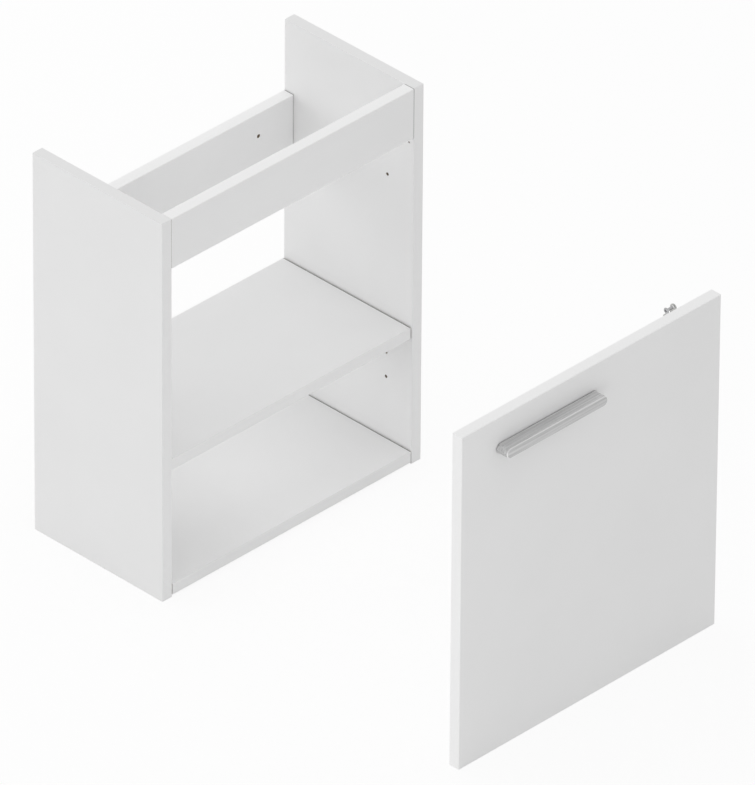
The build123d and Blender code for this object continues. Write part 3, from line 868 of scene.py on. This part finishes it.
pins = [round_pin(low, high) for low, high in solid_boxes("hinge_pins")]
add_piece("hinge_pin_pair", pins, "door", zinc_plate, "screw_steel", "hinge_pins")
cup_screws = [
    screw(low, high, 1, 1, cup_screw_head, cup_screw_shank, thread_pitch, 0.011, screw_point)
    for low, high in solid_boxes("cup_screws")
]
add_piece("cup_screw_set", cup_screws, "door", zinc_plate, "screw_steel", "cup_screws")
adjusters = [
    screw(low, high, 0, -1, adjuster_head, adjuster_shank, fine_pitch, 0.006)
    for low, high in solid_boxes("adjusting_screws")
]
add_piece("adjusting_screw_set", adjusters, "hinges", zinc_plate, "screw_steel", "adjusting_screws")


# The hinge arms: nickel-plated sheet steel, rolled round the pin, bent out of the cup,
# cranked and pressed to a channel that slides over the plate's rib.
arm_sheet = 0.0012
arm_knuckle = 0.0023
arm_tongue = 0.0003
arm_strap_x = 0.007
arm_bend = 0.002
arm_crank = (0.043, 0.034)
arm_strap_half = 0.0044
arm_fold = 0.0012
arm_lip_gap = 0.0003
plate_thickness = 0.0019


def hinge_arm(node, plate_node):
    """Sheet carried along a path: at each step of the path a section of points lies across
    it. The section is flat at first and folds to a channel over the crank, and its depth is
    laid off along X, towards the plate."""
    low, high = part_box(node)
    middle, half = (low.z + high.z) / 2, (high.z - low.z) / 2 - arm_sheet / 2
    pin = np.array([high.x - arm_knuckle, low.y + arm_knuckle])
    roll_radius = arm_knuckle - arm_sheet / 2
    web_x, strap_x = low.x + arm_sheet / 2, low.x + arm_strap_x
    wrap = np.radians(np.linspace(-200, 90, 25))
    knuckle = pin + roll_radius * np.stack([np.cos(wrap), np.sin(wrap)], 1)
    tongue_y = pin[1] + arm_tongue
    bend = np.radians(np.linspace(270, 180, 9))
    elbow = np.array([strap_x + arm_bend, tongue_y + arm_bend])
    elbow = elbow + arm_bend * np.stack([np.cos(bend), np.sin(bend)], 1)
    share = np.linspace(0, 1, 13)
    fold = share * share * (3 - 2 * share)
    crank_y = high.y - arm_crank[0] + (arm_crank[0] - arm_crank[1]) * share
    crank = np.stack([strap_x + (web_x - strap_x) * fold, crank_y], 1)
    web = np.stack([np.full(5, web_x), np.linspace(high.y - arm_crank[1], high.y, 6)[1:]], 1)
    path = np.concatenate([knuckle, elbow, crank, web])
    folded = np.concatenate([np.zeros(len(knuckle) + len(elbow)), fold, np.ones(len(web))])[:, None]
    lip_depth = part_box(plate_node)[1].x - plate_thickness - arm_lip_gap - web_x
    turn = np.linspace(0, np.pi / 2, 5)
    flat = half - arm_fold
    width = np.concatenate([np.linspace(0, flat, 4), flat + arm_fold * np.sin(turn)[1:], [half, half]])
    depth = np.concatenate([np.zeros(4), arm_fold * (1 - np.cos(turn))[1:], [lip_depth / 2, lip_depth]])
    run = np.concatenate([[0], np.cumsum(np.hypot(np.diff(width), np.diff(depth)))])
    level = arm_strap_half * run / run[-1]
    mirrored = ((-1, width), (1, depth), (-1, level))
    width, depth, level = (np.concatenate([sign * v[:0:-1], v]) for sign, v in mirrored)
    z = middle + (1 - folded) * level + folded * width
    x = path[:, :1] + folded * depth
    y = np.broadcast_to(path[:, 1:], z.shape)
    return np.stack([x, y, z], -1)


for name in ("lower", "upper"):
    arm = hinge_arm(name + "_hinge_arm", name + "_hinge_plate")
    add_piece(
        name + "_arm", [arm], "hinges", nickel, "hinge_steel", name + "_hinge_arm", sheet_thickness=arm_sheet
    )


# The hinge plates: pressed cross-shaped plates with a raised rib, nickel-plated. They keep
# the frame's shape, with their edges eased.
plate_ease = 0.0003
for name in ("lower", "upper"):
    node = name + "_hinge_plate"
    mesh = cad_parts[node].data.copy()
    finish_mesh(mesh, 0.5)
    plate = bpy.data.objects.new(name + "_plate", mesh)
    bpy.context.scene.collection.objects.link(plate)
    eased = plate.modifiers.new("eased_edges", "BEVEL")
    eased.width = plate_ease
    eased.segments = 2
    eased.limit_method = "ANGLE"
    eased.angle_limit = 0.6
    dress(plate, "hinges", nickel, "hinge_steel", node)


# The plate screws: four stout zinc-plated screws, backed out while the door is off the
# carcass. They go into the right side's holes when the door is hung.
plate_screw_head = 0.002
plate_screw_shank = 0.0023
plate_screws = [
    screw(low, high, 0, -1, plate_screw_head, plate_screw_shank, thread_pitch, 0.011, screw_point)
    for low, high in solid_boxes("plate_screws")
]
add_piece("plate_screw_set", plate_screws, "fixing_screws", zinc_plate, "screw_steel", "plate_screws")


# The handle: an aluminium bar with round ends, brushed lengthwise. Its front rim is cut to a
# glossier bevel, a fine groove parts it from the door, and it is hollow behind from below.
# Its colours hold painted light: a lighter top, bottom and ends, a darker front, a painted
# highlight on the bevel and painted shade in the groove.
handle_bevel = 0.0012
handle_wall = 0.003
groove_height = 0.0013
groove_depth = 0.0018
grip_half = 0.065
grip_blend = 0.006
# Painted light: the sides' colours are a lighter lit copy and the front's a darker shaded copy of the same brushed
# aluminium.
lit_side_dark = (0.54, 0.54, 0.54)
lit_side_pale = (0.82, 0.82, 0.82)
shaded_front_dark = (0.41, 0.41, 0.41)
shaded_front_pale = (0.64, 0.64, 0.64)
# Painted shade: the groove between the handle and the door is coloured dark.
groove_painted_shade = (0.16, 0.16, 0.16)
# The bevel is cut glossier, and its lighter colour is a painted highlight.
cut_highlight_dark = (0.72, 0.72, 0.72)
cut_highlight_pale = (0.80, 0.80, 0.80)


def handle_surface(low, high):
    """Closed bar along X. Each ring goes round the section at one x: forward over the top,
    down the bevelled front, back along the bottom, up into the grip and up the back. The
    outline is a rectangle with half-round ends, and the front steps back by the distance
    inside it, up to the bevel. The grip comes in smoothly between the two end bosses. Rings
    past the groove's own shorter outline have its points held at that outline's end."""
    middle = (low + high) / 2
    radius = (high.z - low.z) / 2
    reach = high.y - low.y
    straight = (high.x - low.x) / 2 - radius
    ends = straight + radius * np.sin(np.linspace(0, np.pi / 2, 25))
    blend = grip_half + grip_blend * np.linspace(-0.5, 0.5, 13)
    half_x = np.concatenate([np.linspace(0, blend[0], 9)[:-1], blend, ends])
    x = np.concatenate([-half_x[::-1], half_x[1:]])

    def outline(inset):
        """Half height of the outline drawn in by an inset, and x held inside its ends."""
        held = np.clip(x, -straight - radius + inset, straight + radius - inset)
        past = np.maximum(np.abs(held) - straight, 0)
        return np.sqrt(np.maximum((radius - inset) ** 2 - past**2, 0)), held

    half, _ = outline(0)
    flat_half = np.sqrt(np.maximum((radius - handle_bevel) ** 2 - np.maximum(np.abs(x) - straight, 0) ** 2, 0))
    groove_half, groove_x = outline(groove_depth)
    share = np.clip((grip_half - np.abs(x)) / grip_blend + 0.5, 0, 1)
    share = share * share * (3 - 2 * share)
    inner_front = np.maximum(share * (reach - handle_wall), groove_height)
    ceiling = np.maximum(share * (2 * half - handle_wall) - half, -groove_half)
    rim = np.full(len(x), reach - handle_bevel)
    groove = np.full(len(x), groove_height)
    door = np.zeros(len(x))

    def run(start, end, steps):
        """Values at each x from a start towards an end, which the next run begins with."""
        return start[:, None] + (end - start)[:, None] * np.arange(steps) / steps

    z_runs = [
        run(groove_half, groove_half, 1), run(groove_half, half, 1), run(half, half, 4),
        run(half, flat_half, 3), run(flat_half, -flat_half, 6), run(-flat_half, -half, 3),
        run(-half, -half, 4), run(-half, ceiling, 3), run(ceiling, ceiling, 3),
        run(ceiling, groove_half, 3),
    ]
    z = np.concatenate(z_runs, 1)
    front = z[:, 6:19]
    inside = radius - np.sqrt(np.maximum(np.abs(x) - straight, 0)[:, None] ** 2 + front**2)
    y = np.concatenate([
        run(door, groove, 1), run(groove, groove, 1), run(groove, rim, 4),
        reach - handle_bevel + np.clip(inside, 0, handle_bevel)[:, :12],
        run(rim, inner_front, 4), run(inner_front, inner_front, 3), run(inner_front, door, 3),
        run(door, door, 3),
    ], 1)
    across = np.repeat(x[:, None], z.shape[1], 1)
    held = [0, 1] + list(range(23, z.shape[1]))
    across[:, held] = groove_x[:, None]
    return np.stack([middle.x + across, high.y - y, middle.z + z], -1)


def handle_material(door_face):
    """Aluminium brushed along X, with painted light: a darker shaded copy on the front and a
    lighter lit copy on the top, bottom and ends. The front and the bevel, which is cut glossier
    and painted lighter as a highlight, are found by their slope, and the groove, painted dark
    as shade, by its place."""
    material, tree, shader = surface_material("handle_aluminium", 0.36, 1.0)
    brushing = place_group(tree, drawn_lines, Lines_per_metre=(16.0, 2000.0, 2000.0))
    slope = tree.nodes.new("ShaderNodeTexCoord").outputs["Normal"]
    slope = maths(tree, "ABSOLUTE", vector_maths(tree, "DOT_PRODUCT", slope, (0.0, 1.0, 0.0)))
    cut = maths(tree, "MULTIPLY", maths(tree, "GREATER_THAN", slope, 0.4), maths(tree, "LESS_THAN", slope, 0.9))
    # Painted light: the front takes the darker shaded copy, the other faces the lighter lit copy.
    front = ramp(tree, brushing.outputs["Tone"], (0.38, shaded_front_dark), (0.62, shaded_front_pale))
    sides = ramp(tree, brushing.outputs["Tone"], (0.38, lit_side_dark), (0.62, lit_side_pale))
    # Painted highlight: the bevel's colour is lighter than the rest of the metal.
    bright = ramp(tree, brushing.outputs["Tone"], (0.3, cut_highlight_dark), (0.7, cut_highlight_pale))
    brushed = blended(tree, maths(tree, "GREATER_THAN", slope, 0.9), sides, front)
    metal = blended(tree, cut, brushed, bright)
    place = tree.nodes.new("ShaderNodeTexCoord").outputs["Object"]
    behind = vector_maths(tree, "DOT_PRODUCT", place, (0.0, 1.0, 0.0))
    # Painted shade: the groove's faces are coloured dark grey.
    in_groove = maths(tree, "GREATER_THAN", behind, door_face - 1.02 * groove_height)
    tree.links.new(blended(tree, in_groove, metal, groove_painted_shade), shader.inputs["Base Color"])
    satin = maths(tree, "MULTIPLY_ADD", brushing.outputs["Tone"], 0.2, 0.28)
    tree.links.new(maths(tree, "MULTIPLY_ADD", cut, -0.2, satin), shader.inputs["Roughness"])
    add_bump(tree, shader, brushing.outputs["Height"], 0.3, 0.00002)
    return material


bar = handle_surface(*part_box("handle"))
bar_metal = handle_material(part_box("handle")[1].y)
add_piece("handle_bar", [bar], "door", bar_metal, "handle_aluminium", "handle")


# The handle's screws: two machine screws from the door's back into the handle's bosses.
handle_screw_head = 0.0025
handle_screw_shank = 0.002
handle_screws = [
    screw(low, high, 1, 1, handle_screw_head, handle_screw_shank, fine_pitch, 0.014)
    for low, high in solid_boxes("handle_screws")
]
add_piece("handle_screw_pair", handle_screws, "door", zinc_plate, "screw_steel", "handle_screws")


# The bumpers: two clear soft domes stuck to the door's back, where it meets the left side.
pad_tint_dark = (0.80, 0.82, 0.82)
pad_tint_pale = (0.90, 0.91, 0.91)
pad_wall = 0.3


def pad_material():
    """Clear soft plastic with a slightly clouded surface."""
    material, tree, shader = surface_material("clear_pad", 0.2)
    shader.inputs["Transmission Weight"].default_value = 0.85
    shader.inputs["IOR"].default_value = 1.45
    grain = place_group(tree, pearl_grain, Grain_per_metre=700.0)
    tint = ramp(tree, grain.outputs["Tone"], (0.3, pad_tint_dark), (0.7, pad_tint_pale))
    tree.links.new(tint, shader.inputs["Base Color"])
    tree.links.new(maths(tree, "MULTIPLY_ADD", grain.outputs["Tone"], 0.15, 0.12), shader.inputs["Roughness"])
    return material


def door_bumper(low, high):
    """Dome on the door's back: an upright wall for a share of its height, and above it a rise
    that falls off with the fourth power of the distance from its middle."""
    height, radius = high[1] - low[1], (high[0] - low[0]) / 2
    inward = np.linspace(1, 0.05, 12)
    along = height * np.concatenate([[0.0], pad_wall + (1 - pad_wall) * (1 - inward**4)])
    place = (low[0] + radius, low[1], low[2] + radius)
    return lathe(place, 1, 1, along, radius * np.concatenate([[1.0], inward]), 48)


bumpers = [door_bumper(low, high) for low, high in solid_boxes("door_bumpers")]
add_piece("door_bumper_pair", bumpers, "door", pad_material(), "clear_pad", "door_bumpers")
